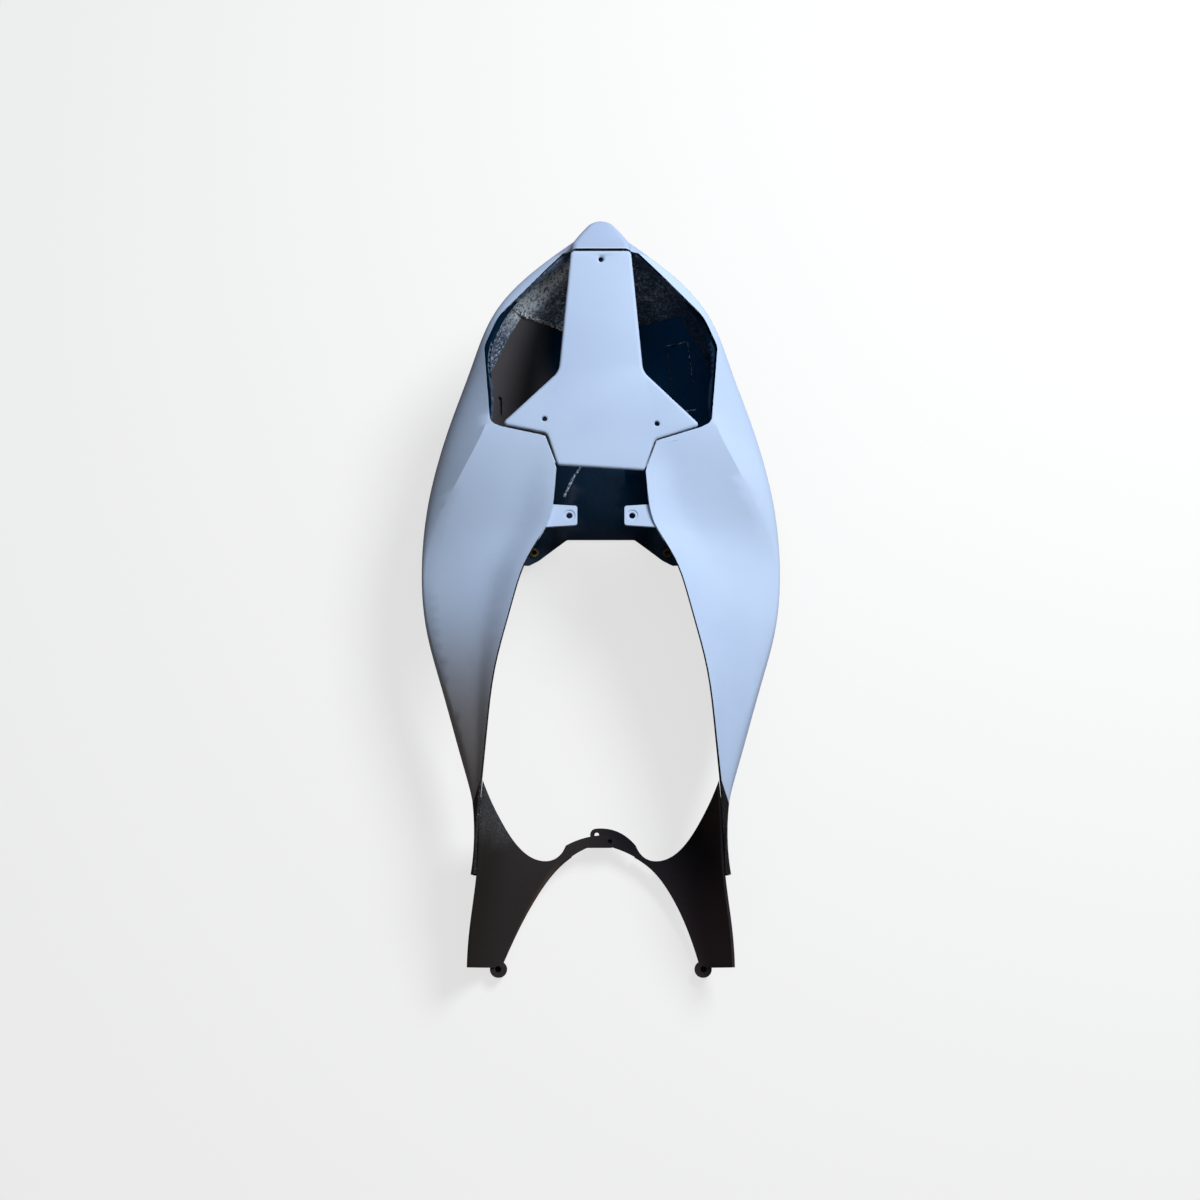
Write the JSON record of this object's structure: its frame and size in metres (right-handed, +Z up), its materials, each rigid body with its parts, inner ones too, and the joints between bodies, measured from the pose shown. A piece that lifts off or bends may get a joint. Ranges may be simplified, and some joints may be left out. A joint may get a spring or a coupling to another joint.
{
  "type": "motorcycle tail fairing",
  "caption": "Fibreglass race tail for a motorcycle: white shell with open hatches, T-shaped seat plate, black undertray and strapped front legs.",
  "frame": {"origin": "centre of the tail's outline, on the floor that it stands on", "axes": "+X to the right, +Y to the rear, +Z up"},
  "size_m": [0.3502, 0.7207, 0.179],
  "materials": {
    "white_gelcoat": "satin white gelcoat outside, black laminate inside",
    "plate_gelcoat": "satin white gelcoat",
    "black_laminate": "black resin over rough glass mat",
    "leg_laminate": "satin black laminate",
    "insert_brass": "dull threaded insert"
  },
  "bodies": {
    "root": {"tail_shell": "white_gelcoat", "seat_plate": "plate_gelcoat", "undertray": "black_laminate", "undertray_inserts": "insert_brass", "left_leg": "leg_laminate", "right_leg": "leg_laminate"}
  },
  "joints": []
}
